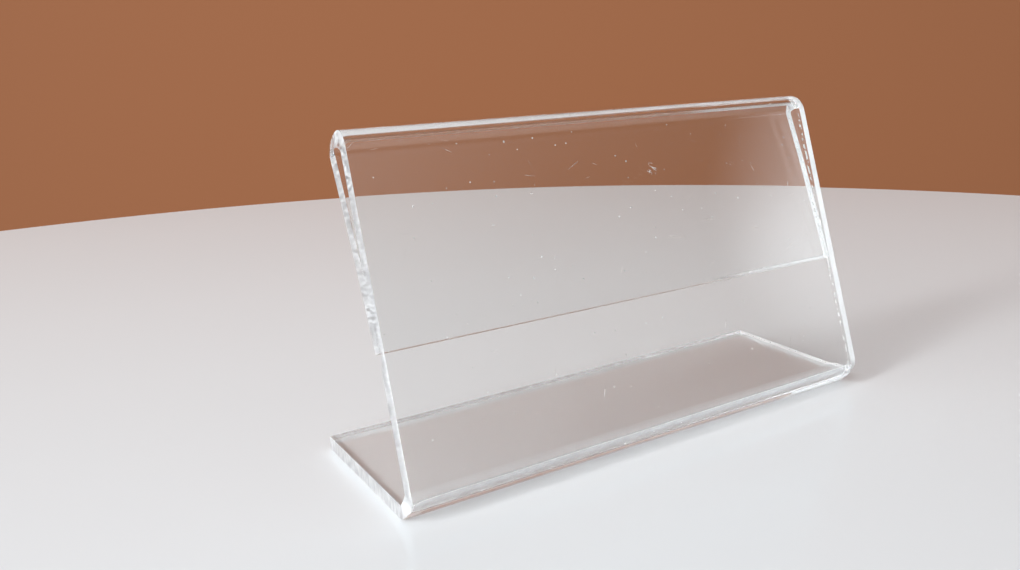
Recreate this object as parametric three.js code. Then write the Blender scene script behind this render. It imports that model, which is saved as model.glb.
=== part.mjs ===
// Clear acrylic L-shaped sign holder: one strip of sheet, cut to width and folded twice along hot lines.
// From its rear edge the strip runs forward as the flat base, turns up at the front bend, leans back as
// the sign panel, folds over in a tight hairpin at the top and ends as a short flap. The card is held
// between the panel and the flap, which closes on the panel's back towards its lower edge.
// Millimetres. +X runs across the sign, +Y to the rear, +Z up. The origin is on the table, under the
// middle of the holder.

import * as THREE from 'three';
import { toCreasedNormals } from 'three/addons/utils/BufferGeometryUtils.js';

// Driving dimensions of the holder
const signWidth = 90;
const sheetThickness = 2.2;
const overallHeight = 52.4;
const baseDepth = 30.9;
const panelLeanDegrees = 71.3;
const frontBendRadius = 1.9;
const hairpinRadius = 1.15;
const flapLength = 28;
const flapBow = 0.2;
const flapEndGap = 0.15;

// Folding squeezes the sheet on the inside of a bend, where it swells out past the cut edges, and
// stretches it on the outside, where it draws in by as much and pulls the sharp edge round. The tight
// hairpin is also drawn thinner, from its inner face.
const frontBendSwell = 0.45;
const hairpinSwell = 0.3;
const hairpinThinning = 0.45;
const edgeRound = 0.12;
const frontBendEdgeRound = 0.7;
const hairpinEdgeRound = 0.2;

// Facets of the curved parts
const bendStepDegrees = 6;
const flapSteps = 8;
const edgeRoundSteps = 3;
const cutFaceSteps = 4;

const halfWidth = signWidth / 2;
const halfThickness = sheetThickness / 2;
const lean = THREE.MathUtils.degToRad(panelLeanDegrees);
const bendStep = THREE.MathUtils.degToRad(bendStepDegrees);

// The base lies flat from the rear edge to where the front bend begins
function baseLength() {
  return baseDepth - frontBendRadius - sheetThickness;
}

// The panel is as long as the height leaves it, between the front bend and the top of the hairpin
function panelLength() {
  const frontBendTop = frontBendRadius + sheetThickness + Math.cos(lean) * (frontBendRadius + halfThickness);
  const hairpinCentre = overallHeight - hairpinRadius - sheetThickness;
  const panelTop = hairpinCentre + Math.cos(lean) * (hairpinRadius + halfThickness);
  return (panelTop - frontBendTop) / Math.sin(lean);
}

// The flap bows towards the panel along a parabola. This is the angle between the flap and the straight
// line from its top to its lower edge, at either end of that line.
const bowAngle = Math.atan2(4 * flapBow, flapLength);

// The flap closes on the panel by this angle, so that its lower edge ends at its gap to the panel
function flapClosingAngle() {
  const across = hairpinRadius * Math.cos(bowAngle);
  const along = flapLength + (hairpinRadius + sheetThickness) * Math.sin(bowAngle);
  return Math.acos((flapEndGap - hairpinRadius) / Math.hypot(across, along)) - Math.atan2(along, across);
}

// What bending does to the strip: how far it swells and draws in at the cut edges, how round it pulls
// their outer corners, and how much it thins the wall
const unbent = { swell: 0, outerRound: edgeRound, thinning: 0 };
const frontBend = { swell: frontBendSwell, outerRound: frontBendEdgeRound, thinning: 0 };
const hairpin = { swell: hairpinSwell, outerRound: hairpinEdgeRound, thinning: hairpinThinning };

// A bend deforms the strip most in its middle, and thins it only near there
function bentBy(bend, share) {
  const strain = Math.sin(Math.PI * share) ** 2;
  return {
    swell: bend.swell * strain,
    outerRound: THREE.MathUtils.lerp(edgeRound, bend.outerRound, strain),
    thinning: bend.thinning * strain ** 2
  };
}

// A station is a cut across the strip: a point on the middle surface of the flat strip, the direction of
// its outer face, and what bending does to it there
function makeStation(point, heading, bending = unbent) {
  const outward = new THREE.Vector2(-Math.sin(heading), Math.cos(heading));
  return { point: point.clone(), outward, bending };
}

// Walks along the strip's middle surface in the YZ plane and collects the stations of its side view
function walkStrip() {
  const point = new THREE.Vector2(baseDepth, halfThickness);
  let heading = Math.PI;
  const stations = [makeStation(point, heading)];

  function goStraight(length) {
    point.x += length * Math.cos(heading);
    point.y += length * Math.sin(heading);
    stations.push(makeStation(point, heading));
  }

  // Every fold turns the same way, with the inner face of the strip at the given radius
  function fold(bend, turn, innerRadius) {
    const radius = innerRadius + halfThickness;
    const centre = new THREE.Vector2(
      point.x + radius * Math.sin(heading),
      point.y - radius * Math.cos(heading)
    );
    const startHeading = heading;
    const steps = Math.ceil(turn / bendStep);
    for (let step = 1; step <= steps; step++) {
      const share = step / steps;
      heading = startHeading - turn * share;
      point.set(centre.x - radius * Math.sin(heading), centre.y + radius * Math.cos(heading));
      stations.push(makeStation(point, heading, step < steps ? bentBy(bend, share) : unbent));
    }
  }

  // The flap leaves the hairpin in line with it and straightens towards the panel's direction
  function bowToEnd(length, bow) {
    const start = point.clone();
    const chordHeading = heading + bowAngle;
    const along = new THREE.Vector2(Math.cos(chordHeading), Math.sin(chordHeading));
    const towardsPanel = new THREE.Vector2(along.y, -along.x);
    for (let step = 1; step <= flapSteps; step++) {
      const share = step / flapSteps;
      point.copy(start);
      point.addScaledVector(along, length * share);
      point.addScaledVector(towardsPanel, 4 * bow * share * (1 - share));
      heading = chordHeading - Math.atan2(4 * bow * (1 - 2 * share), length);
      stations.push(makeStation(point, heading));
    }
  }

  goStraight(baseLength());
  fold(frontBend, Math.PI - lean, frontBendRadius);
  goStraight(panelLength());
  fold(hairpin, Math.PI + flapClosingAngle() + bowAngle, hairpinRadius);
  bowToEnd(flapLength, flapBow);
  return stations;
}

// The strip's cross-section at a station: a rectangle with rounded corners, as a ring of points that
// runs along the outer face from left to right, down the cut edge, back along the inner face and up the
// other cut edge. The two cut edges have points between their corners, because folding twists them.
function crossSection(station) {
  const corners = [
    { side: -1, face: 1 },
    { side: 1, face: 1 },
    { side: 1, face: -1 },
    { side: -1, face: -1 }
  ];
  const { swell, outerRound, thinning } = station.bending;
  const outline = corners.map(({ side, face }, corner) => {
    const isOuter = face === 1;
    const radius = Math.min(isOuter ? outerRound : edgeRound, halfThickness);
    const across = side * (halfWidth - face * swell - radius);
    const lift = face * (halfThickness - radius) + (isOuter ? 0 : thinning);
    const arc = [];
    for (let step = 0; step <= edgeRoundSteps; step++) {
      const angle = Math.PI - (corner + step / edgeRoundSteps) * (Math.PI / 2);
      arc.push(new THREE.Vector2(across + radius * Math.cos(angle), lift + radius * Math.sin(angle)));
    }
    return arc;
  });
  const [leftOuter, rightOuter, rightInner, leftInner] = outline;
  const ring = [
    ...leftOuter,
    ...rightOuter,
    ...pointsBetween(rightOuter.at(-1), rightInner[0]),
    ...rightInner,
    ...leftInner,
    ...pointsBetween(leftInner.at(-1), leftOuter[0])
  ];
  return ring.map(({ x: across, y: lift }) => new THREE.Vector3(
    across,
    station.point.x + station.outward.x * lift,
    station.point.y + station.outward.y * lift
  ));
}

function pointsBetween(start, end) {
  const points = [];
  for (let step = 1; step < cutFaceSteps; step++) {
    points.push(start.clone().lerp(end, step / cutFaceSteps));
  }
  return points;
}

// Lofts the solid strip through its cross-sections, and closes it with the base's rear edge and the
// flap's lower edge
function loftStrip(stations) {
  const rings = stations.map(crossSection);
  const points = rings.flat();
  const ringLength = rings[0].length;
  const triangles = [];

  for (let start = 0; start < points.length - ringLength; start += ringLength) {
    for (let place = 0; place < ringLength; place++) {
      const here = start + place;
      const beside = start + (place + 1) % ringLength;
      triangles.push(here, beside, beside + ringLength);
      triangles.push(here, beside + ringLength, here + ringLength);
    }
  }

  // A closing face is a fan of triangles round its middle, turned over at the strip's start
  function closeStrip(station, start, isStart) {
    const middle = points.push(new THREE.Vector3(0, station.point.x, station.point.y)) - 1;
    for (let place = 0; place < ringLength; place++) {
      const here = start + place;
      const beside = start + (place + 1) % ringLength;
      triangles.push(middle, isStart ? beside : here, isStart ? here : beside);
    }
  }
  closeStrip(stations[0], 0, true);
  closeStrip(stations.at(-1), points.length - 1 - ringLength, false);
  return new THREE.BufferGeometry().setFromPoints(points).setIndex(triangles);
}

// Puts the origin on the table under the middle of the holder
function centreOnTable(geometry) {
  geometry.computeBoundingBox();
  const { min, max } = geometry.boundingBox;
  geometry.translate(-(min.x + max.x) / 2, -(min.y + max.y) / 2, -min.z);
  return geometry;
}

const clearAcrylic = new THREE.MeshStandardMaterial({
  color: 0xeef1f1,
  roughness: 0.06,
  metalness: 0,
  transparent: true,
  opacity: 0.3
});

const strip = centreOnTable(loftStrip(walkStrip()));
const bentAcrylicSheet = new THREE.Mesh(toCreasedNormals(strip, bendStep * 2), clearAcrylic);
bentAcrylicSheet.name = 'bent_acrylic_sheet';

const signHolder = new THREE.Group();
signHolder.name = 'l_shaped_sign_holder';
signHolder.add(bentAcrylicSheet);

export default signHolder;
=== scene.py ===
"""Looks of a clear acrylic L-shaped sign holder.

One strip of clear sheet, folded twice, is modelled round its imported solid: flat base, front bend, leaning
panel, hairpin and short flap. Metres, in the frame of the solid: +X across the sign, +Y to the rear, +Z up.
"""

import logging
import math
from dataclasses import dataclass, field
from enum import Enum

import bpy
from mathutils import Matrix, Vector


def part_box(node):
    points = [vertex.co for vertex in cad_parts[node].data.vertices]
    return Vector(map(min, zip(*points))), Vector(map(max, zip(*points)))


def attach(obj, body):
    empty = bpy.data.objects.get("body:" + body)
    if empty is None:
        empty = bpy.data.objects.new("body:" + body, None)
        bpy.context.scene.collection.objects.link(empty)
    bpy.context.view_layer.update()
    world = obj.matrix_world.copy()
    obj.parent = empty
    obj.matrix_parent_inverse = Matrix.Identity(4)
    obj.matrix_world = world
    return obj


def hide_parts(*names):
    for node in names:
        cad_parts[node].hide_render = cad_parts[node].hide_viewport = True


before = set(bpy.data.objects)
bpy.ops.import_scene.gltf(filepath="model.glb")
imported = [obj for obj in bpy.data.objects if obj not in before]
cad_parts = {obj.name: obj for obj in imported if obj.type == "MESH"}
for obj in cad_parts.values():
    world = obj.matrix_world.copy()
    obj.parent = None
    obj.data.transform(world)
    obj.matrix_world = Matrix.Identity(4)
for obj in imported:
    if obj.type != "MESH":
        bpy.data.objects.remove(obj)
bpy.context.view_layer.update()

log = logging.getLogger("sign_holder")

Socket = bpy.types.NodeSocket
Colour = tuple[float, float, float, float]
Range = tuple[float, float]

SHEET_NODE = "bent_acrylic_sheet"
STRIP_MAP = "strip"
MILLIMETRE = 0.001
MERGE_DISTANCE = 0.001 * MILLIMETRE

# The strip's faces and edges lie this far apart on its map, so that their marks differ
OUTER_FACE_SHIFT = 1.0
INNER_FACE_SHIFT = -1.0
RIGHT_EDGE_SHIFT = 1.0
REAR_EDGE_SHIFT = 2.0
FLAP_EDGE_SHIFT = 3.0

# On the map of the cut edges, the left-hand edge lies before this stretch and all the others past it
PAST_LEFT_EDGE: Range = (0.4, 0.5)


class SheetFace(Enum):
    """The two kinds of surface on the strip, by material slot."""

    POLISHED = 0
    CUT = 1


def deselect_all() -> None:
    """Leaves nothing selected, in object mode."""
    if bpy.context.object and bpy.context.object.mode != "OBJECT":
        bpy.ops.object.mode_set(mode="OBJECT")
    bpy.ops.object.select_all(action="DESELECT")


def pick(piece: bpy.types.Object) -> None:
    """Selects one piece alone and makes it active."""
    deselect_all()
    piece.select_set(True)
    bpy.context.view_layer.objects.active = piece


def apply_modifier(piece: bpy.types.Object, kind: str, **settings: object) -> None:
    """Adds a modifier to a piece, sets it up and applies it.

    Args:
        piece: The object to change.
        kind: The modifier's type.
        settings: The modifier's own settings.
    """
    pick(piece)
    modifier = piece.modifiers.new(kind.title(), kind)
    for name, value in settings.items():
        setattr(modifier, name, value)
    bpy.ops.object.modifier_apply(modifier=modifier.name)


class NodeSheet:
    """A small helper that writes a material's node tree."""

    def __init__(self, name: str) -> None:
        """Starts a material with a Principled shader.

        Args:
            name: The material's name.
        """
        self.material = bpy.data.materials.new(name)
        self.material.use_nodes = True
        self.tree = self.material.node_tree
        self.shader = self.tree.nodes["Principled BSDF"]

    def add(self, kind: str, inputs: dict[str, object] | None = None, **settings: object) -> bpy.types.Node:
        """Adds a node.

        Args:
            kind: The node's type.
            inputs: Values or sockets for its inputs, by name or number.
            settings: The node's own settings.

        Returns:
            The new node.
        """
        node = self.tree.nodes.new(kind)
        for name, value in settings.items():
            setattr(node, name, value)
        for name, value in (inputs or {}).items():
            self.put(node.inputs[name], value)
        return node

    def put(self, socket: Socket, value: object) -> None:
        """Links a socket to another, or sets its value."""
        if isinstance(value, Socket):
            self.tree.links.new(value, socket)
        else:
            socket.default_value = value

    def shade(self, **values: object) -> None:
        """Sets the shader's inputs, with underscores for the spaces in their names."""
        for name, value in values.items():
            self.put(self.shader.inputs[name.replace("_", " ")], value)

    def strip_place(self) -> Socket:
        """Reads where on the strip's map a point of the surface lies."""
        return self.add("ShaderNodeUVMap", uv_map=STRIP_MAP).outputs[0]

    def axes(self, place: Socket) -> tuple[Socket, Socket]:
        """Splits a place on the strip's map: how far along the strip, and how far across or through it."""
        outputs = self.add("ShaderNodeSeparateXYZ", {0: place}).outputs
        return outputs[0], outputs[1]

    def ramp(self, value: Socket, start: float, end: float, low: float = 0.0, high: float = 1.0) -> Socket:
        """Maps a value from one range to another, without going past it.

        Args:
            value: The socket to read.
            start: Where the first range starts.
            end: Where it ends.
            low: What start becomes.
            high: What end becomes.

        Returns:
            The mapped value's socket.
        """
        return self.add("ShaderNodeMapRange", {0: value, 1: start, 2: end, 3: low, 4: high}).outputs[0]

    def within(self, value: Socket, start: float, end: float, fade: float) -> Socket:
        """Marks where a value lies between two limits.

        Args:
            value: The socket to read.
            start: The lower limit, where the mark starts to rise.
            end: The upper limit, where it starts to fall.
            fade: How far each of them takes.

        Returns:
            A socket that is 1 between the limits and 0 elsewhere.
        """
        begins = self.ramp(value, start, start + fade)
        ends = self.ramp(value, end, end + fade, 1.0, 0.0)
        return self.times(begins, ends)

    def noise(
        self, place: Socket, per_metre: float, detail: float, distortion: float = 0.0, shift: float = 0.0
    ) -> Socket:
        """Adds smooth noise.

        Args:
            place: The coordinates to read, in metres.
            per_metre: How many bumps there are to a metre.
            detail: How much finer noise lies on it.
            distortion: How much it swirls.
            shift: Moves the pattern, in metres.

        Returns:
            The noise, mostly between 0.3 and 0.7.
        """
        moved = self.add("ShaderNodeMapping", {0: place, 1: (shift, shift, 0)}).outputs[0]
        inputs = {"Vector": moved, "Scale": per_metre, "Detail": detail, "Distortion": distortion}
        return self.add("ShaderNodeTexNoise", inputs).outputs[0]

    def blend(self, share: object, first: object, second: object) -> Socket:
        """Mixes two colours or two numbers by a share from 0 to 1.

        Args:
            share: 0 gives the first and 1 the second.
            first: A colour, a number or a socket.
            second: A colour, a number or a socket.

        Returns:
            The mix.
        """
        if isinstance(second, tuple):
            mix = self.add("ShaderNodeMix", {"Factor": share, 6: first, 7: second}, data_type="RGBA")
            return mix.outputs[2]
        mix = self.add("ShaderNodeMix", {"Factor": share, 2: first, 3: second}, data_type="FLOAT")
        return mix.outputs[0]

    def bump(self, height: Socket) -> Socket:
        """Turns a height in metres into the surface's normal."""
        return self.add("ShaderNodeBump", {"Strength": 1.0, "Distance": 1.0, "Height": height}).outputs[0]

    def maths(self, operation: str, *values: object) -> Socket:
        """Combines two or more values, one after another.

        Args:
            operation: The operation.
            values: Numbers or sockets.

        Returns:
            The result.
        """
        found = values[0]
        for value in values[1:]:
            found = self.add("ShaderNodeMath", {0: found, 1: value}, operation=operation).outputs[0]
        return found

    def times(self, *values: object) -> Socket:
        """Multiplies numbers or sockets together."""
        return self.maths("MULTIPLY", *values)

    def most(self, *values: object) -> Socket:
        """Takes the largest of several numbers or sockets."""
        return self.maths("MAXIMUM", *values)


@dataclass(frozen=True)
class ClearAcrylic:
    """Polished clear sheet with hairline scratches, dust specks, faint smears, chips by its edges and a
    painted highlight strip along the flap's lower edge.
    """

    half_width: float
    length: float
    panel_from: float
    tint: Colour = (0.99, 0.996, 0.994, 1.0)
    # Also the colour of the painted highlight strip along the flap's lower edge.
    dust: Colour = (0.9, 0.89, 0.87, 1.0)
    ior: float = 1.491
    clean_roughness: float = 0.004
    smeared_roughness: float = 0.03
    scratched_roughness: float = 0.4
    smears_per_metre: float = 45
    smear_swirl: float = 1.5
    smear_noise: Range = (0.45, 0.75)
    waves_per_metre: float = 28
    wave_height: float = 0.012 * MILLIMETRE
    scratch_strength: float = 0.22
    scratch_sets: tuple[Range, ...] = ((0.35, 0.0), (-1.1, 3.1), (1.75, 7.7))
    scratch_grain: Range = (150, 3200)
    scratch_least: float = 0.745
    scratch_fade: float = 2 * MILLIMETRE
    patches_per_metre: float = 90
    patch_noise: Range = (0.58, 0.66)
    patch_strength: float = 0.7
    scuff: Range = (0.0720, 1.0062)
    scuff_reach: Range = (0.3 * MILLIMETRE, 1.3 * MILLIMETRE)
    scuff_turn: float = 0.2
    scuff_grain: Range = (450, 3800)
    scuff_least: float = 0.65
    scuff_gain: float = 2.2
    line_fade: float = 0.025
    speck_strength: float = 0.75
    specks_per_metre: float = 230
    speck_chance: Range = (0.45, 0.5)
    speck_sizes: Range = (0.6, 1.0)
    speck_radii: Range = (0.008, 0.04)
    speck_fade: float = 0.008
    # Also sets how strongly the painted highlight strip along the flap's lower edge shows.
    chip_strength: float = 0.95
    chip_inset: float = 0.95 * MILLIMETRE
    chip_line_width: float = 0.4 * MILLIMETRE
    chip_line_fade: float = 0.08 * MILLIMETRE
    chip_line_wander: float = 0.12 * MILLIMETRE
    wanders_per_metre: float = 400
    wander_noise: Range = (0.3, 0.7)
    chips_per_metre: float = 1500
    chip_noise: Range = (0.49, 0.52)
    chip_shift: float = 1.3
    # The painted highlight strip along the flap's lower edge: its height, its fade, and the stretch across
    # the strip where it fades in.
    highlight_strip_height: float = 0.7 * MILLIMETRE
    highlight_strip_fade: float = 0.2 * MILLIMETRE
    highlight_strip_across: Range = (16 * MILLIMETRE, 30 * MILLIMETRE)

    def material(self) -> bpy.types.Material:
        """Makes the material."""
        sheet = NodeSheet("clear_acrylic")
        place = sheet.strip_place()
        scratches = self.scratches(sheet, place)
        # The chips and the painted highlight strip along the flap's lower edge, in one mask.
        chips = sheet.most(self.chips(sheet, place), self.painted_highlight_strip(sheet, place))
        specks = self.specks(sheet, place)
        smear = sheet.noise(place, self.smears_per_metre, detail=2, distortion=self.smear_swirl)
        roughness = sheet.ramp(smear, *self.smear_noise, self.clean_roughness, self.smeared_roughness)
        roughness = sheet.blend(sheet.most(scratches, chips), roughness, self.scratched_roughness)
        marks = sheet.most(
            sheet.times(scratches, self.scratch_strength),
            sheet.times(specks, self.speck_strength),
            sheet.times(chips, self.chip_strength),
        )
        wave = sheet.noise(place, self.waves_per_metre, detail=0)
        sheet.shade(
            Base_Color=sheet.blend(marks, self.tint, self.dust),
            IOR=self.ior,
            Transmission_Weight=sheet.maths("SUBTRACT", 1.0, marks),
            Roughness=roughness,
            Normal=sheet.bump(sheet.times(wave, self.wave_height)),
        )
        return sheet.material

    def chips(self, sheet: NodeSheet, place: Socket) -> Socket:
        """Draws the dotted line of chips on the inner face, just inside the right-hand cut edge.

        Args:
            sheet: The material.
            place: Where on the strip.

        Returns:
            A socket that is 1 on a chip and 0 elsewhere.
        """
        _, across = sheet.axes(place)
        wander = sheet.noise(place, self.wanders_per_metre, detail=1)
        wander = sheet.ramp(wander, *self.wander_noise, -self.chip_line_wander, self.chip_line_wander)
        start = INNER_FACE_SHIFT + self.half_width - self.chip_inset
        wandering = sheet.maths("ADD", across, wander)
        on_line = sheet.within(wandering, start, start + self.chip_line_width, self.chip_line_fade)
        grain = sheet.noise(place, self.chips_per_metre, detail=1, shift=self.chip_shift)
        return sheet.times(on_line, sheet.ramp(grain, *self.chip_noise))

    def painted_highlight_strip(self, sheet: NodeSheet, place: Socket) -> Socket:
        """Draws a painted highlight: a near-white strip along the right-hand part of the flap's lower edge,
        standing in for the bright line of light there.

        Args:
            sheet: The material.
            place: Where on the strip.

        Returns:
            A socket that is 1 in the strip and 0 elsewhere.
        """
        along, across = sheet.axes(place)
        from_middle = sheet.maths("SUBTRACT", across, sheet.maths("SIGN", across, 0.0))
        start = self.length - self.highlight_strip_height
        at_end = sheet.ramp(along, start, start + self.highlight_strip_fade)
        return sheet.times(at_end, sheet.ramp(from_middle, *self.highlight_strip_across))

    def hairlines(
        self, sheet: NodeSheet, place: Socket, turn: float, shift: float, grain: Range, least: float
    ) -> Socket:
        """Draws thin lines in one direction.

        Args:
            sheet: The material.
            place: Where on the strip.
            turn: Which way they run.
            shift: Moves the pattern.
            grain: How many there are to a metre, along them and across them.
            least: The noise value where a line begins. A higher one leaves fewer lines.

        Returns:
            A socket that is 1 on a line and 0 elsewhere.
        """
        turned = sheet.add(
            "ShaderNodeMapping",
            {0: place, 1: (shift, shift, 0), 2: (0, 0, turn), 3: (1 / grain[0], 1 / grain[1], 1)},
            vector_type="TEXTURE",
        ).outputs[0]
        lines = sheet.add("ShaderNodeTexNoise", {"Vector": turned, "Scale": 1.0, "Detail": 1.0}).outputs[0]
        return sheet.ramp(lines, least, least + self.line_fade)

    def scratches(self, sheet: NodeSheet, place: Socket) -> Socket:
        """Draws hairline scratches in three directions, in patches, and one scuff of crossed lines.

        The patches are on the panel and the flap only.

        Args:
            sheet: The material.
            place: Where on the strip.

        Returns:
            A socket that is 1 in a scratch and 0 elsewhere.
        """
        from_scuff = sheet.add("ShaderNodeVectorMath", {0: place, 1: (*self.scuff, 0)}, operation="DISTANCE")
        in_scuff = sheet.ramp(from_scuff.outputs["Value"], *self.scuff_reach, 1.0, 0.0)
        along, _ = sheet.axes(place)
        on_panel = sheet.ramp(along, self.panel_from, self.panel_from + self.scratch_fade)
        found: object = 0.0
        for turn, shift in self.scratch_sets:
            patch = sheet.noise(place, self.patches_per_metre, detail=1, shift=shift)
            patch = sheet.ramp(patch, *self.patch_noise, 0.0, self.patch_strength)
            sparse = self.hairlines(sheet, place, turn, shift, self.scratch_grain, self.scratch_least)
            dense = self.hairlines(
                sheet, place, turn + self.scuff_turn, shift + 1, self.scuff_grain, self.scuff_least
            )
            patched = sheet.times(sparse, patch, on_panel)
            scuffed = sheet.times(dense, in_scuff, self.scuff_gain)
            found = sheet.most(found, sheet.most(patched, scuffed))
        return found

    def specks(self, sheet: NodeSheet, place: Socket) -> Socket:
        """Scatters dust: a few specks in every square centimetre, of several sizes.

        Args:
            sheet: The material.
            place: Where on the strip.

        Returns:
            A socket that is 1 on a speck and 0 elsewhere.
        """
        cells = sheet.add(
            "ShaderNodeTexVoronoi",
            {"Vector": place, "Scale": self.specks_per_metre, "Randomness": 1.0},
            voronoi_dimensions="2D",
        )
        draws = sheet.add("ShaderNodeSeparateColor", {0: cells.outputs["Color"]}).outputs
        radius = sheet.ramp(draws[0], *self.speck_sizes, *self.speck_radii)
        found = sheet.ramp(draws[1], *self.speck_chance)
        depth = sheet.maths("SUBTRACT", radius, cells.outputs["Distance"])
        return sheet.times(found, sheet.ramp(depth, 0.0, self.speck_fade))


@dataclass(frozen=True)
class SawnEdge:
    """The strip's cut edges: frosted, with fine stripes across that the saw left.

    The frost is thickest on the right-hand edge of the base and the panel, along the outer face's rim, on
    the left end of the front bend and in scattered chips. It has melted clear beside the hairpin, on the
    flap's side of it, and is thin on the right end of the front bend. The stripes' darker tone is left off
    every edge but the left-hand one and off the front bend's left end. This is painted highlight, so that
    these faces stay evenly white in the light's glare.
    """

    clear_from: float
    clear_to: float
    front_bend_from: float
    front_bend_to: float
    colour: Colour = (0.98, 0.98, 0.985, 1.0)
    shade_colour: Colour = (0.66, 0.655, 0.68, 1.0)
    ior: float = 1.491
    clear_roughness: float = 0.05
    frost_roughness: Range = (0.3, 0.5)
    roughness_noise: Range = (0.3, 0.7)
    stripes_per_metre: Range = (1900, 450)
    stripe_depth: float = 0.008 * MILLIMETRE
    pale_stripes: Range = (0.4, 0.58)
    frosty_stripes: Range = (0.42, 0.58)
    stripe_frost: float = 0.36
    frost_off_left: float = 0.15
    paleness_above_base: float = 0.68
    # How pale the painted highlight keeps the front bend's left end.
    bend_highlight_paleness: float = 0.9
    rim_depth: float = 0.9 * MILLIMETRE
    rim_patches_per_metre: float = 700
    rim_noise: Range = (0.4, 0.6)
    rim_frost: Range = (0.35, 0.56)
    rim_on_base: float = 0.2
    rim_on_upper_half: float = 0.5
    rim_on_flap: float = 0.4
    rim_right_of_bend: float = 0.25
    upper_half_above_bend: Range = (20 * MILLIMETRE, 30 * MILLIMETRE)
    chips_per_metre: float = 1500
    chip_noise: Range = (0.63, 0.66)
    chip_shift: float = 3.7
    chip_frost: float = 0.6
    right_frost: float = 0.6
    right_base_frost: float = 0.8
    right_edge_end: float = 0.2
    flap_end_across: Range = (18 * MILLIMETRE, 50 * MILLIMETRE)
    flap_end_fade: float = 6 * MILLIMETRE
    knob_frost: float = 0.55
    knob_outer_share: float = 0.1
    base_margin: float = 5 * MILLIMETRE
    bend_fade: float = 0.6 * MILLIMETRE
    base_fade: float = 1 * MILLIMETRE
    panel_fade: float = 1.5 * MILLIMETRE

    def material(self) -> bpy.types.Material:
        """Makes the material."""
        sheet = NodeSheet("sawn_acrylic_edge")
        place = sheet.strip_place()
        stripes_place = sheet.add("ShaderNodeMapping", {0: place, 3: (*self.stripes_per_metre, 1)}).outputs[0]
        inputs = {"Vector": stripes_place, "Scale": 1.0, "Detail": 2.0}
        stripes = sheet.add("ShaderNodeTexNoise", inputs).outputs[0]
        clear = self.clear_stretch(sheet, place)
        frost = sheet.times(self.frost(sheet, place, stripes), sheet.maths("SUBTRACT", 1.0, clear))
        roughness = sheet.ramp(stripes, *self.roughness_noise, *self.frost_roughness)
        sheet.shade(
            Base_Color=sheet.blend(self.paleness(sheet, place, stripes), self.shade_colour, self.colour),
            IOR=self.ior,
            Transmission_Weight=sheet.maths("SUBTRACT", 1.0, frost),
            Roughness=sheet.blend(clear, roughness, self.clear_roughness),
            Normal=sheet.bump(sheet.times(stripes, self.stripe_depth)),
        )
        return sheet.material

    def paleness(self, sheet: NodeSheet, place: Socket, stripes: Socket) -> Socket:
        """Works out how pale the frost is: striped on the base, calmer above it, and even on the front bend's
        left end and on every edge but the left-hand one, where leaving the stripes off is painted highlight.

        Args:
            sheet: The material.
            place: Where on the strip.
            stripes: The saw's stripes.

        Returns:
            A socket that is 1 where the frost is palest.
        """
        along, _ = sheet.axes(place)
        bend_start = self.front_bend_from
        above_base = sheet.ramp(along, bend_start, bend_start + self.base_fade, 0.0, self.paleness_above_base)
        # Painted highlight: the front bend's left end is kept nearly unstriped, as white as the light's glare
        # makes it.
        painted_highlight_on_bend = sheet.times(self.left_of_bend(sheet, along), self.bend_highlight_paleness)
        # Painted highlight: every cut edge but the left-hand one is kept unstriped, so that the right-hand
        # edges stay as white as the light's glare makes them.
        painted_highlight_past_left = sheet.ramp(along, *PAST_LEFT_EDGE)
        return sheet.most(sheet.ramp(stripes, *self.pale_stripes), above_base, painted_highlight_on_bend, painted_highlight_past_left)

    def frost(self, sheet: NodeSheet, place: Socket, stripes: Socket) -> Socket:
        """Works out how thick the frost lies.

        Args:
            sheet: The material.
            place: Where on the strip.
            stripes: The saw's stripes.

        Returns:
            The share of the light that the frost scatters back, from 0 to 1.
        """
        along, through = sheet.axes(place)
        on_left = sheet.ramp(along, *PAST_LEFT_EDGE, 1.0, self.frost_off_left)
        chips = sheet.noise(place, self.chips_per_metre, detail=1, shift=self.chip_shift)
        return sheet.most(
            sheet.times(sheet.ramp(stripes, *self.frosty_stripes, 0.0, self.stripe_frost), on_left),
            self.rim(sheet, place),
            sheet.times(sheet.ramp(chips, *self.chip_noise, 0.0, self.chip_frost), on_left),
            sheet.times(self.right_of_panel(sheet, along), self.right_frost),
            sheet.times(self.right_of_base(sheet, along), self.right_base_frost),
            sheet.times(self.knob(sheet, along, through), self.knob_frost),
            sheet.times(self.right_of_flap_end(sheet, along), self.right_frost),
        )

    def rim(self, sheet: NodeSheet, place: Socket) -> Socket:
        """Works out the frost along the outer face's rim: patchy, and thinner on the base and high up.

        Args:
            sheet: The material.
            place: Where on the strip.

        Returns:
            The share of the light that the rim scatters back, from 0 to 1.
        """
        along, through = sheet.axes(place)
        patches = sheet.noise(place, self.rim_patches_per_metre, detail=2)
        bend_start, bend_end = self.front_bend_from, self.front_bend_to
        upper_start, upper_end = self.upper_half_above_bend
        return sheet.times(
            sheet.ramp(through, 0.0, self.rim_depth),
            sheet.ramp(patches, *self.rim_noise, *self.rim_frost),
            sheet.ramp(along, bend_start, bend_start + self.base_fade, self.rim_on_base, 1.0),
            sheet.ramp(self.right_of_bend(sheet, along), 0.0, 1.0, 1.0, self.rim_right_of_bend),
            sheet.ramp(along, bend_end + upper_start, bend_end + upper_end, 1.0, self.rim_on_upper_half),
            sheet.ramp(along, self.clear_from, self.clear_to, 1.0, self.rim_on_flap),
        )

    def left_of_bend(self, sheet: NodeSheet, along: Socket) -> Socket:
        """Marks the front bend's left-hand cut face, from 0 to 1."""
        return sheet.within(along, self.front_bend_from, self.front_bend_to, self.bend_fade)

    def right_of_panel(self, sheet: NodeSheet, along: Socket) -> Socket:
        """Marks the right-hand cut face from the foot of the panel on, from 0 to 1."""
        start = RIGHT_EDGE_SHIFT + self.front_bend_to
        return sheet.within(along, start, RIGHT_EDGE_SHIFT + self.right_edge_end, self.panel_fade)

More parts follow.
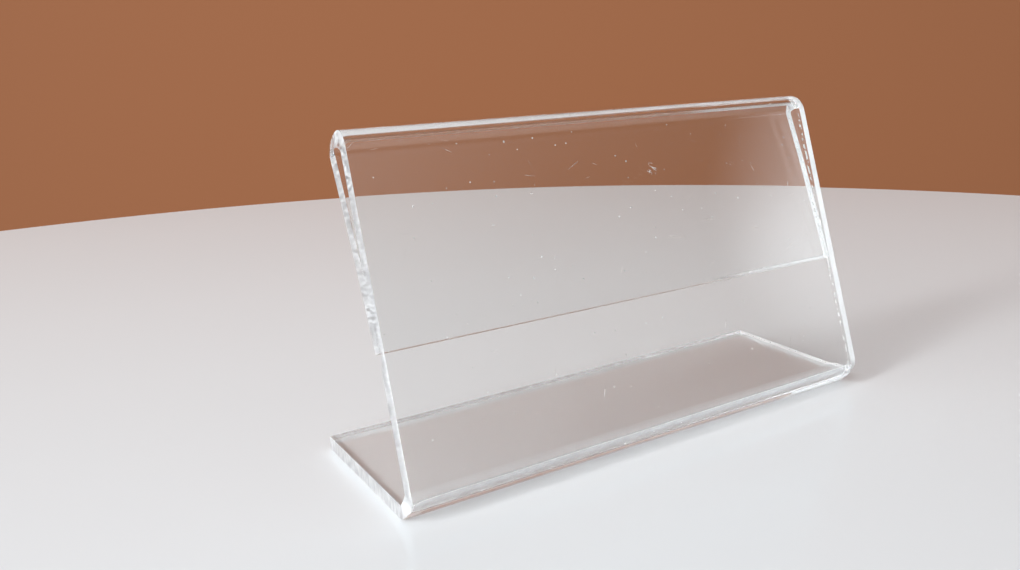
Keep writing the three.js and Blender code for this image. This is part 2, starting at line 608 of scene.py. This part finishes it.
    def right_of_bend(self, sheet: NodeSheet, along: Socket) -> Socket:
        """Marks the front bend's right-hand cut face, which is the clearest, from 0 to 1."""
        start, end = RIGHT_EDGE_SHIFT + self.front_bend_from, RIGHT_EDGE_SHIFT + self.front_bend_to
        return sheet.within(along, start, end, self.base_fade)

    def right_of_base(self, sheet: NodeSheet, along: Socket) -> Socket:
        """Marks the base's right-hand cut face, which is the whitest, from 0 to 1."""
        start, end = RIGHT_EDGE_SHIFT - self.base_margin, RIGHT_EDGE_SHIFT + self.front_bend_from
        return sheet.within(along, start, end, self.base_fade)

    def right_of_flap_end(self, sheet: NodeSheet, along: Socket) -> Socket:
        """Marks the right-hand part of the flap's lower edge, from 0 to 1."""
        start, end = (FLAP_EDGE_SHIFT + across for across in self.flap_end_across)
        return sheet.within(along, start, end, self.flap_end_fade)

    def knob(self, sheet: NodeSheet, along: Socket, through: Socket) -> Socket:
        """Marks the round white spot on the front bend's left end, fading out towards the outer face.

        Args:
            sheet: The material.
            along: How far along the strip.
            through: How far out of its middle surface.

        Returns:
            A socket that is 1 in the spot and 0 elsewhere.
        """
        from_outside = sheet.ramp(through, 0.0, self.rim_depth, 1.0, self.knob_outer_share)
        return sheet.times(self.left_of_bend(sheet, along), from_outside)

    def clear_stretch(self, sheet: NodeSheet, place: Socket) -> Socket:
        """Marks the stretch where the fold's heat has melted the frost clear, from 0 to 1."""
        along, _ = sheet.axes(place)
        return sheet.within(along, self.clear_from, self.clear_to, self.bend_fade)


@dataclass(frozen=True)
class PlainSurface:
    """A plain finish for the floor or the backdrop."""

    name: str
    colour: Colour
    roughness: float

    def material(self) -> bpy.types.Material:
        """Makes the material."""
        sheet = NodeSheet(self.name)
        sheet.shade(Base_Color=self.colour, Roughness=self.roughness)
        return sheet.material


@dataclass(frozen=True)
class Fold:
    """One fold of the strip: where it is in the side view, and what bending did to the sheet there."""

    centre: Vector
    radius: float
    heading: float
    turn: float
    thinning: float
    outer_thinning: float
    end_swell: float
    end_pull: float
    end_fill: float
    end_round: float

    @property
    def length(self) -> float:
        """How long the strip's middle surface is round the fold."""
        return self.turn * self.radius

    def find(self, point: Vector) -> tuple[float, float]:
        """Finds where a point lies, seen from the fold's centre.

        Args:
            point: A point on the strip.

        Returns:
            How far round from the fold's start it lies, in radians, and how far out of the strip's middle
            surface.
        """
        spoke = Vector((point.y - self.centre.y, point.z - self.centre.z))
        turned = (self.heading + math.pi / 2 - math.atan2(spoke.y, spoke.x)) % (2 * math.pi)
        return turned, spoke.length - self.radius


@dataclass
class BentSheet:
    """The strip of clear acrylic, folded along two lines."""

    thickness: float = 2.2 * MILLIMETRE
    lean: float = math.radians(71.3)
    front_bend_radius: float = 1.9 * MILLIMETRE
    hairpin_radius: float = 1.15 * MILLIMETRE
    flap_length: float = 28 * MILLIMETRE
    flap_bow: float = 0.2 * MILLIMETRE
    flap_end_gap: float = 0.15 * MILLIMETRE
    front_swell: float = 0.45 * MILLIMETRE
    front_thinning: float = 0.42 * MILLIMETRE
    front_pull: float = 0.25 * MILLIMETRE
    front_edge_round: float = 0.7 * MILLIMETRE
    hairpin_swell: float = 0.3 * MILLIMETRE
    hairpin_thinning: float = 0.45 * MILLIMETRE
    hairpin_end_fill: float = 0.2 * MILLIMETRE
    hairpin_edge_round: float = 0.2 * MILLIMETRE
    edge_round: float = 0.12 * MILLIMETRE
    fold_end_reach: float = 3.0 * MILLIMETRE
    fold_fill_reach: float = 1.6 * MILLIMETRE
    flap_taper: float = 0.45 * MILLIMETRE
    clear_from_share: float = 0.52
    clear_to_margin: float = 0.8 * MILLIMETRE
    front_frost_margins: Range = (0.6 * MILLIMETRE, 1.8 * MILLIMETRE)
    columns: int = 30
    end_columns: int = 8
    base_steps: int = 10
    panel_steps: int = 20
    flap_steps: int = 12
    fold_step: float = math.radians(2.5)
    edge_round_segments: int = 4
    cut_side_cosine: float = 0.7
    rounded_side_cosine: float = 0.5
    rear_cosine: float = 0.9
    flap_end_cosine: float = 0.97
    sharp_edge_cosine: float = 0.6
    outer_side_from: float = 0.4
    fold_reach_out: float = 1.2
    flat_reach_out: float = 0.6
    base_reach_up: float = 1.1
    smooth_angle: float = math.radians(35)
    normal_weight: int = 80
    low: Vector = field(default_factory=lambda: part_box(SHEET_NODE)[0])
    high: Vector = field(default_factory=lambda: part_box(SHEET_NODE)[1])

    def __post_init__(self) -> None:
        """Works out the places and angles of the folds in the side view."""
        half = self.thickness / 2
        self.half_width = (self.high.x - self.low.x) / 2 - self.front_swell
        front_middle = self.front_bend_radius + half
        hairpin_middle = self.hairpin_radius + half
        front_centre = Vector((0, self.low.y + front_middle + half, front_middle + half))
        self.base_length = self.high.y - front_centre.y
        self.bow_angle = math.atan2(4 * self.flap_bow, self.flap_length)
        hairpin_turn = math.pi + self.closing_angle() + self.bow_angle
        self.panel_start = front_centre + front_middle * self.outward(self.lean)
        centre_height = self.high.z - hairpin_middle - half
        panel_top = centre_height + hairpin_middle * math.cos(self.lean)
        self.panel_length = (panel_top - self.panel_start.z) / math.sin(self.lean)
        panel_end = self.panel_start + self.panel_length * self.ahead(self.lean)
        hairpin_centre = panel_end - hairpin_middle * self.outward(self.lean)
        self.flap_start = hairpin_centre + hairpin_middle * self.outward(self.lean - hairpin_turn)
        self.flap_heading = self.lean - hairpin_turn + self.bow_angle
        self.front_bend = Fold(
            centre=front_centre,
            radius=front_middle,
            heading=math.pi,
            turn=math.pi - self.lean,
            thinning=0.0,
            outer_thinning=self.front_thinning,
            end_swell=self.front_swell,
            end_pull=self.front_pull,
            end_fill=0.0,
            end_round=self.front_edge_round,
        )
        self.hairpin = Fold(
            centre=hairpin_centre,
            radius=hairpin_middle,
            heading=self.lean,
            turn=hairpin_turn,
            thinning=self.hairpin_thinning,
            outer_thinning=0.0,
            end_swell=self.hairpin_swell,
            end_pull=0.0,
            end_fill=self.hairpin_end_fill,
            end_round=self.hairpin_edge_round,
        )

    def closing_angle(self) -> float:
        """Works out the angle that closes the flap on the panel, up to the gap at its lower edge."""
        across = self.hairpin_radius * math.cos(self.bow_angle)
        along = self.flap_length + (self.hairpin_radius + self.thickness) * math.sin(self.bow_angle)
        closing = math.acos((self.flap_end_gap - self.hairpin_radius) / math.hypot(across, along))
        return closing - math.atan2(along, across)

    @property
    def panel_from(self) -> float:
        """How far along the strip the panel begins."""
        return self.base_length + self.front_bend.length

    @property
    def hairpin_from(self) -> float:
        """How far along the strip the hairpin begins."""
        return self.panel_from + self.panel_length

    @property
    def flap_from(self) -> float:
        """How far along the strip the flap begins."""
        return self.hairpin_from + self.hairpin.length

    @staticmethod
    def ahead(heading: float) -> Vector:
        """The direction that the strip runs in, for a heading from +Y towards +Z."""
        return Vector((0, math.cos(heading), math.sin(heading)))

    @staticmethod
    def outward(heading: float) -> Vector:
        """The direction of the strip's outer face, for a heading from +Y towards +Z."""
        return Vector((0, -math.sin(heading), math.cos(heading)))

    def build(self) -> bpy.types.Object:
        """Models the strip and dresses it.

        Returns:
            The finished piece.
        """
        piece = self.lay_rear_edge()
        self.run_straight(self.ahead(math.pi) * self.base_length, self.base_steps)
        self.draw_round(self.front_bend)
        self.run_straight(self.ahead(self.lean) * self.panel_length, self.panel_steps)
        self.draw_round(self.hairpin)
        self.bow_flap()
        bpy.ops.mesh.select_all(action="SELECT")
        bpy.ops.mesh.remove_doubles(threshold=MERGE_DISTANCE)
        bpy.ops.mesh.normals_make_consistent(inside=False)
        bpy.ops.object.mode_set(mode="OBJECT")
        self.mark_cut_faces(piece)
        self.shape_folds(piece)
        self.taper_flap(piece)
        self.round_edges(piece)
        self.map_strip(piece)
        return piece

    def lay_rear_edge(self) -> bpy.types.Object:
        """Lays the cut face at the base's rear edge, which the strip is then drawn from."""
        deselect_all()
        bpy.ops.mesh.primitive_grid_add(
            x_subdivisions=self.columns,
            y_subdivisions=2,
            size=1,
            location=(0, self.high.y, self.thickness / 2),
            rotation=(math.pi / 2, 0, 0),
        )
        piece = bpy.context.object
        piece.name = "folded_clear_sheet"
        piece.scale = (2 * self.half_width, self.thickness, 1)
        bpy.ops.object.transform_apply(location=True, rotation=True, scale=True)
        bpy.ops.object.mode_set(mode="EDIT")
        for column in range(1, self.end_columns + 1):
            for side in (-1, 1):
                bpy.ops.mesh.select_all(action="SELECT")
                inset = self.fold_end_reach * column / self.end_columns
                place = (side * (self.half_width - inset), 0, 0)
                bpy.ops.mesh.bisect(plane_co=place, plane_no=(1, 0, 0))
        bpy.ops.mesh.select_all(action="SELECT")
        return piece

    def run_straight(self, move: Vector, steps: int) -> None:
        """Draws the selected cut face out along a straight stretch."""
        for _ in range(steps):
            bpy.ops.mesh.extrude_region_move(TRANSFORM_OT_translate={"value": move / steps})

    def draw_round(self, fold: Fold) -> None:
        """Draws the selected cut face round a fold."""
        steps = math.ceil(fold.turn / self.fold_step)
        bpy.ops.mesh.spin(steps=steps, angle=fold.turn, center=fold.centre, axis=(1, 0, 0))

    def bow_flap(self) -> None:
        """Draws the flap, which bows towards the panel along a parabola."""
        towards_panel = -self.outward(self.flap_heading)
        place = Vector()
        for step in range(1, self.flap_steps + 1):
            share = step / self.flap_steps
            target = self.ahead(self.flap_heading) * (self.flap_length * share)
            target += towards_panel * (4 * self.flap_bow * share * (1 - share))
            bpy.ops.mesh.extrude_region_move(TRANSFORM_OT_translate={"value": target - place})
            place = target

    def near_end(self, inset: float, reach: float) -> float:
        """How near a point is to a cut edge: 1 on the edge, falling to 0 where its inset is the reach."""
        return max(0.0, 1 - inset / reach)

    def shape_folds(self, piece: bpy.types.Object) -> None:
        """Gives the folds what heating and bending does to a sheet.

        The stretched outer side draws in at both ends, the squeezed inner side swells out past the cut
        edges there, and the wall gets thinner: on the front bend's outer side, more towards the left, and on
        the hairpin's inner side, but for its very ends.
        """
        for vertex in piece.data.vertices:
            bend = self.bend_at(vertex.co)
            if bend:
                fold, share, outerness = bend
                strain = math.sin(math.pi * share) ** 2
                side = math.copysign(1, vertex.co.x)
                inset = self.half_width - abs(vertex.co.x)
                near_end = self.near_end(inset, self.fold_end_reach) ** 2
                at_end = self.near_end(inset, self.fold_fill_reach) ** 2
                outer, inner = (1 + outerness) / 2, (1 - outerness) / 2
                early = 2 * (1 - share)
                lift = (fold.thinning * strain * (1 - at_end) - fold.end_fill * at_end * early) * inner
                towards_left = 0.5 - vertex.co.x / (2 * self.half_width)
                pull = (fold.outer_thinning * towards_left + fold.end_pull * near_end) * early * outer
                spoke = (vertex.co - fold.centre).normalized()
                spoke.x = 0
                move = spoke.normalized() * (lift - pull)
                move.x = side * near_end * fold.end_swell * (inner - outer)
                vertex.co += move * strain

    def taper_flap(self, piece: bpy.types.Object) -> None:
        """Narrows the flap at its left end towards its lower edge, where the strip was cut askew."""
        for vertex in piece.data.vertices:
            along, out = self.place_on_flap(vertex.co)
            is_beside_flap = abs(out) < self.thickness * self.flat_reach_out
            if is_beside_flap and 0 < along < self.flap_length + self.thickness:
                near_end = self.near_end(self.half_width + vertex.co.x, self.fold_end_reach)
                vertex.co.x += self.flap_taper * near_end * along / self.flap_length

    def bend_at(self, point: Vector) -> tuple[Fold, float, float] | None:
        """Finds where a point lies in a fold.

        Args:
            point: A point on the unshaped strip.

        Returns:
            The fold, how far round it the point lies, from 0 to 1, and how far out the point is, from -1 on
            the inner face to 1 on the outer face. None on a flat.
        """
        for fold in (self.front_bend, self.hairpin):
            turned, out = fold.find(point)
            outerness = out / (self.thickness / 2)
            if abs(outerness) < self.fold_reach_out and turned < fold.turn:
                return fold, turned / fold.turn, outerness
        return None

    def mark_cut_faces(self, piece: bpy.types.Object) -> None:
        """Gives the strip its two materials: polished faces and cut edges."""
        sheet = ClearAcrylic(
            half_width=self.half_width,
            length=self.flap_from + self.flap_length,
            panel_from=self.panel_from,
        )
        edge = SawnEdge(
            clear_from=self.hairpin_from + self.hairpin.length * self.clear_from_share,
            clear_to=self.flap_from - self.clear_to_margin,
            front_bend_from=self.base_length + self.front_frost_margins[0],
            front_bend_to=self.panel_from - self.front_frost_margins[1],
        )
        piece.data.materials.append(sheet.material())
        piece.data.materials.append(edge.material())
        flap_end = self.ahead(self.flap_heading + self.bow_angle)
        behind_bend = self.front_bend.centre.y + self.thickness
        for face in piece.data.polygons:
            is_side = abs(face.normal.x) > self.cut_side_cosine
            is_rear = face.normal.y > self.rear_cosine and face.center.y > self.high.y - self.edge_round
            is_flap_end = face.normal.dot(flap_end) > self.flap_end_cosine and face.center.y > behind_bend
            kind = SheetFace.CUT if is_side or is_rear or is_flap_end else SheetFace.POLISHED
            face.material_index = kind.value

    def round_edges(self, piece: bpy.types.Object) -> None:
        """Rounds the strip's edges, most of all where a fold has stretched them."""
        mesh = piece.data
        weights = mesh.attributes.new("bevel_weight_edge", "FLOAT", "EDGE")
        flat_share = self.edge_round / self.front_edge_round
        faces_of = {}
        for face in mesh.polygons:
            for key in face.edge_keys:
                faces_of.setdefault(key, []).append(face)
        for edge in mesh.edges:
            faces = faces_of[edge.key]
            if len(faces) == 2 and faces[0].normal.dot(faces[1].normal) < self.sharp_edge_cosine:
                middle = (mesh.vertices[edge.vertices[0]].co + mesh.vertices[edge.vertices[1]].co) / 2
                bend = self.bend_at(middle)
                stretched = 0.0
                if bend and bend[2] > self.outer_side_from:
                    fold, share, _ = bend
                    stretched = fold.end_round / self.front_edge_round * math.sin(math.pi * share) ** 2
                weights.data[edge.index].value = max(flat_share, stretched)
        segments = self.edge_round_segments
        apply_modifier(piece, "BEVEL", width=self.front_edge_round, segments=segments, limit_method="WEIGHT")
        pick(piece)
        bpy.ops.object.shade_smooth_by_angle(angle=self.smooth_angle)
        apply_modifier(piece, "WEIGHTED_NORMAL", keep_sharp=True, weight=self.normal_weight)

    def map_strip(self, piece: bpy.types.Object) -> None:
        """Lays a map on the piece as on the flat strip it was folded from, in metres along and across it.

        On the cut edges the map runs along the strip and through the sheet, and across the strip and through
        it on the two ends. The faces and edges lie far apart on it, so that their marks differ.
        """
        mesh = piece.data
        places = [self.place_on_strip(vertex.co) for vertex in mesh.vertices]
        layer = mesh.uv_layers.new(name=STRIP_MAP)
        for face in mesh.polygons:
            is_cut = face.material_index == SheetFace.CUT.value
            is_side = abs(face.normal.x) > self.rounded_side_cosine
            for loop_index in face.loop_indices:
                vertex = mesh.loops[loop_index].vertex_index
                along, through = places[vertex]
                across = mesh.vertices[vertex].co.x
                if not is_cut:
                    shift = OUTER_FACE_SHIFT if through > 0 else INNER_FACE_SHIFT
                    layer.data[loop_index].uv = (along, across + shift)
                elif is_side:
                    shift = RIGHT_EDGE_SHIFT if across > 0 else 0.0
                    layer.data[loop_index].uv = (along + shift, through)
                else:
                    shift = REAR_EDGE_SHIFT if along < self.thickness else FLAP_EDGE_SHIFT
                    layer.data[loop_index].uv = (across + shift, through)

    def place_on_strip(self, point: Vector) -> tuple[float, float]:
        """Finds a point's place on the flat strip.

        Args:
            point: A point on the folded strip.

        Returns:
            How far along the strip's middle surface it is from the rear edge, and how far out of it.
        """
        for fold, before in ((self.front_bend, self.base_length), (self.hairpin, self.hairpin_from)):
            turned, out = fold.find(point)
            if abs(out) < self.thickness and turned < fold.turn:
                return before + turned * fold.radius, out
        if point.y > self.front_bend.centre.y and point.z < self.thickness * self.base_reach_up:
            return self.high.y - point.y, self.thickness / 2 - point.z
        from_panel = point - self.panel_start
        out_of_panel = from_panel.dot(self.outward(self.lean))
        if abs(out_of_panel) < self.thickness * self.flat_reach_out:
            return self.panel_from + from_panel.dot(self.ahead(self.lean)), out_of_panel
        along, out = self.place_on_flap(point)
        return self.flap_from + along, out

    def place_on_flap(self, point: Vector) -> tuple[float, float]:
        """Finds how far along the flap a point is from its top, and how far out of it."""
        from_flap = point - self.flap_start
        heading = self.flap_heading
        return from_flap.dot(self.ahead(heading)), from_flap.dot(self.outward(heading))


@dataclass(frozen=True)
class Glow:
    """A soft bright patch of the surroundings: where it is, how wide it is and how bright."""

    direction: tuple[float, float, float]
    inner_degrees: float
    outer_degrees: float
    brightness: float


@dataclass(frozen=True)
class SoftLamp:
    """A soft rectangular lamp that faces the holder: where it hangs, its width and height, and its watts."""

    name: str
    place: tuple[float, float, float]
    size: Range
    power: float
    colour: tuple[float, float, float] = (0.93, 0.98, 1.0)

    def hang(self) -> None:
        """Hangs the lamp."""
        lamp = bpy.data.lights.new(self.name, "AREA")
        lamp.energy = self.power
        lamp.color = self.colour
        lamp.shape = "RECTANGLE"
        lamp.size, lamp.size_y = self.size
        holder = bpy.data.objects.new(self.name, lamp)
        bpy.context.scene.collection.objects.link(holder)
        holder.visible_glossy = False
        holder.location = self.place
        holder.rotation_euler = (-Vector(self.place)).to_track_quat("-Z", "Y").to_euler()


@dataclass
class Studio:
    """The pale floor, the plain backdrop, the soft lights and the camera."""

    floor_radius: float = 0.361
    floor_centre: Range = (-0.0559, -0.1180)
    floor_gap: float = 0.05 * MILLIMETRE
    floor_thickness: float = 0.025
    floor_sides: int = 256
    floor_finish: PlainSurface = PlainSurface("white_laminate", (0.80, 0.81, 0.82, 1), 0.2)
    backdrop_distance: float = 1.1
    backdrop_size: Range = (3.2, 8.0)
    backdrop_finish: PlainSurface = PlainSurface("warm_backdrop", (0.42, 0.155, 0.065, 1), 0.8)
    camera_azimuth: float = math.radians(-34.09)
    camera_elevation: float = math.radians(13.72)
    camera_roll: float = math.radians(-0.665)
    camera_distance: float = 0.1454
    camera_target: tuple[float, float, float] = (-0.01177, -0.00435, 0.03197)
    nearest_seen: float = 5 * MILLIMETRE
    lens: float = 32.98
    frame_width: float = 1020
    frame_height: float = 570
    optical_centre: Range = (568.1, 250.4)
    light_bounces: int = 48
    surround_colour: Colour = (0.9, 0.96, 1.0, 1)
    surround_brightness: float = 0.1
    glows: tuple[Glow, ...] = (
        Glow(direction=(-0.9, -0.1, 0.45), inner_degrees=10, outer_degrees=60, brightness=1.0),
        Glow(direction=(0.8, -0.56, 0.21), inner_degrees=3, outer_degrees=12, brightness=1.8),
        Glow(direction=(0.1, -0.5, 1.0), inner_degrees=10, outer_degrees=50, brightness=0.35),
        Glow(direction=(-0.4, -0.7, 0.8), inner_degrees=10, outer_degrees=60, brightness=0.58),
    )
    lamps: tuple[SoftLamp, ...] = (
        SoftLamp("window_light", place=(-1.02, -0.33, 0.545), size=(0.9, 0.8), power=7.5),
        SoftLamp("window_gap", place=(-1.12, -0.053, 0.43), size=(0.15, 1.0), power=9.2),
    )

    def build(self) -> None:
        """Sets everything up."""
        self.lay_floor()
        self.hang_backdrop()
        self.light()
        self.place_camera()
        bpy.context.scene.view_settings.view_transform = "Standard"

    def back(self) -> Vector:
        """The direction from the camera's target to the camera."""
        flat = math.cos(self.camera_elevation)
        return Vector((
            math.sin(self.camera_azimuth) * flat,
            -math.cos(self.camera_azimuth) * flat,
            math.sin(self.camera_elevation),
        ))

    def lay_floor(self) -> None:
        """Lays a round white table top under the holder."""
        deselect_all()
        bpy.ops.mesh.primitive_cylinder_add(
            vertices=self.floor_sides,
            radius=self.floor_radius,
            depth=self.floor_thickness,
            location=(*self.floor_centre, -self.floor_gap - self.floor_thickness / 2),
        )
        floor = bpy.context.object
        floor.name = "floor"
        floor.data.materials.append(self.floor_finish.material())

    def hang_backdrop(self) -> None:
        """Hangs a plain warm backdrop beyond the floor."""
        deselect_all()
        away = -self.back()
        away.z = 0
        away.normalize()
        bpy.ops.mesh.primitive_plane_add(
            size=1,
            location=away * self.backdrop_distance,
            rotation=(math.pi / 2, 0, math.atan2(-away.x, away.y)),
        )
        backdrop = bpy.context.object
        backdrop.name = "backdrop"
        backdrop.scale = (*self.backdrop_size, 1)
        backdrop.data.materials.append(self.backdrop_finish.material())

    def light(self) -> None:
        """Lights the set with two low soft lamps at the left, and with soft light from all round."""
        self.light_surroundings()
        for lamp in self.lamps:
            lamp.hang()
        self.let_light_run_through_the_sheet()

    def let_light_run_through_the_sheet(self) -> None:
        """Lets light pass under the sheet unblurred, and run along inside it from edge to edge."""
        paths = bpy.context.scene.cycles
        paths.blur_glossy = 0
        paths.max_bounces = self.light_bounces
        paths.transmission_bounces = self.light_bounces
        paths.glossy_bounces = self.light_bounces

    def light_surroundings(self) -> None:
        """Makes the surroundings: dim, with a soft bright patch in each of a few directions."""
        world = bpy.data.worlds.new("soft_room")
        bpy.context.scene.world = world
        world.use_nodes = True
        tree = world.node_tree
        direction = tree.nodes.new("ShaderNodeTexCoord").outputs["Generated"]
        strength: Socket | None = None
        for patch in self.glows:
            facing = tree.nodes.new("ShaderNodeVectorMath")
            facing.operation = "DOT_PRODUCT"
            tree.links.new(direction, facing.inputs[0])
            facing.inputs[1].default_value = Vector(patch.direction).normalized()
            glow = tree.nodes.new("ShaderNodeMapRange")
            glow.interpolation_type = "SMOOTHSTEP"
            tree.links.new(facing.outputs["Value"], glow.inputs["Value"])
            glow.inputs["From Min"].default_value = math.cos(math.radians(patch.outer_degrees))
            glow.inputs["From Max"].default_value = math.cos(math.radians(patch.inner_degrees))
            glow.inputs["To Min"].default_value = 0.0
            glow.inputs["To Max"].default_value = patch.brightness
            total = tree.nodes.new("ShaderNodeMath")
            total.operation = "ADD"
            tree.links.new(glow.outputs["Result"], total.inputs[0])
            if strength is None:
                total.inputs[1].default_value = self.surround_brightness
            else:
                tree.links.new(strength, total.inputs[1])
            strength = total.outputs["Value"]
        background = tree.nodes["Background"]
        background.inputs["Color"].default_value = self.surround_colour
        tree.links.new(strength, background.inputs["Strength"])

    def place_camera(self) -> None:
        """Puts the camera where the photograph was taken from."""
        data = bpy.data.cameras.new("camera")
        camera = bpy.data.objects.new("camera", data)
        bpy.context.scene.collection.objects.link(camera)
        bpy.context.scene.camera = camera
        data.lens = self.lens
        data.clip_start = self.nearest_seen
        data.shift_x = (self.frame_width / 2 - self.optical_centre[0]) / self.frame_width
        data.shift_y = (self.optical_centre[1] - self.frame_height / 2) / self.frame_width
        back = self.back()
        right = Vector((math.cos(self.camera_azimuth), math.sin(self.camera_azimuth), 0))
        up = back.cross(right)
        roll, level = math.sin(self.camera_roll), math.cos(self.camera_roll)
        rolled_right = right * level + up * roll
        rolled_up = up * level - right * roll
        turn = Matrix((rolled_right, rolled_up, back)).transposed().to_4x4()
        place = Vector(self.camera_target) + back * self.camera_distance
        camera.matrix_world = Matrix.Translation(place) @ turn


def main() -> None:
    """Builds the holder and the set round it."""
    logging.basicConfig(level=logging.INFO, format="%(name)s: %(message)s")
    Studio().build()
    sheet = BentSheet().build()
    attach(sheet, "root")
    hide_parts(SHEET_NODE)
    log.info("%s: %d faces", sheet.name, len(sheet.data.polygons))


if __name__ == "__main__":
    main()
